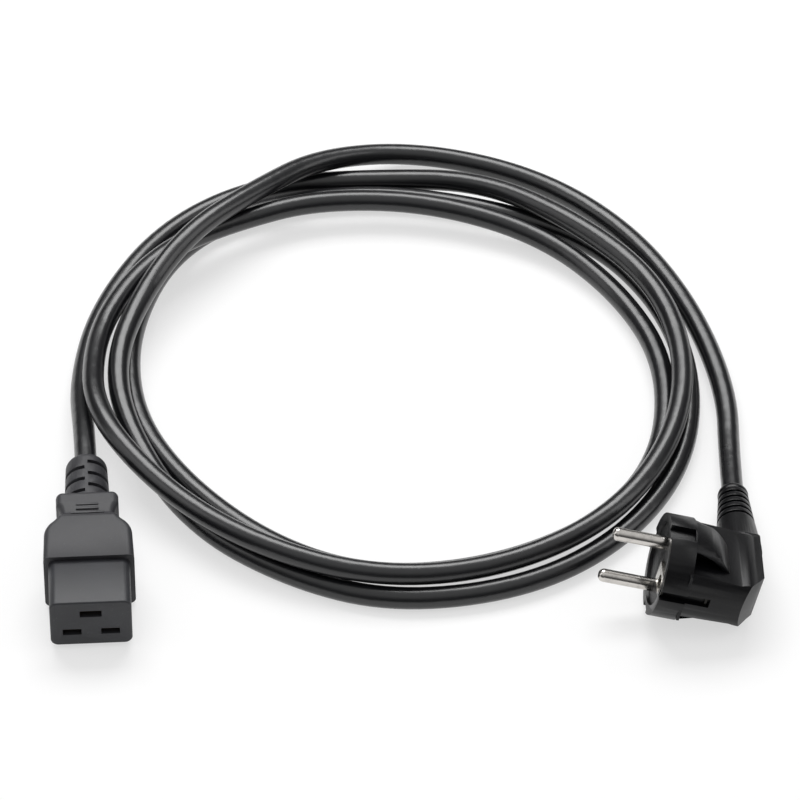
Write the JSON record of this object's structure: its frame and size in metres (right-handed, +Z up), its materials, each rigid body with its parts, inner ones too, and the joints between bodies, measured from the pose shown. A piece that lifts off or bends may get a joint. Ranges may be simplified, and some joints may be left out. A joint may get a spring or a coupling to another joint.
{
  "type": "power extension cord",
  "caption": "Flexible power cord with a right-angle round-pin plug at one end and a flat-slot appliance connector at the other, lying in loose turns.",
  "frame": {"origin": "under the middle of the appliance connector, on the surface that the cord lies on", "axes": "+Z up, -Y out of the connector's mating face, +Y along the cord that leaves it, +X across the connector towards the plug"},
  "size_m": [0.2561, 0.2644, 0.0381],
  "materials": {
    "moulding_matt": "fine matt texture",
    "nose_plastic": "fine matt texture",
    "contact_metal": "bare sheet",
    "core_green_yellow": "smooth",
    "core_brown": "smooth",
    "core_blue": "smooth",
    "plug_moulding": "satin",
    "insert_plastic": "satin",
    "strap_metal": "nickel plated",
    "pin_metal": "nickel plated",
    "sheath": "glossy"
  },
  "bodies": {
    "root": {"connector_hood": "moulding_matt", "connector_nose": "nose_plastic", "connector_rear_cap": "nose_plastic", "connector_earth_contact": "contact_metal", "connector_line_contact": "contact_metal", "connector_neutral_contact": "contact_metal", "connector_earth_core": "core_green_yellow", "connector_line_core": "core_brown", "connector_neutral_core": "core_blue", "cord_sheath": "sheath", "plug_body": "plug_moulding", "plug_face_insert": "insert_plastic", "plug_earth_socket": "strap_metal", "plug_earth_strap": "strap_metal", "plug_line_pin": "pin_metal", "plug_neutral_pin": "pin_metal", "plug_line_core": "core_brown", "plug_neutral_core": "core_blue", "plug_earth_core": "core_green_yellow"}
  },
  "joints": []
}
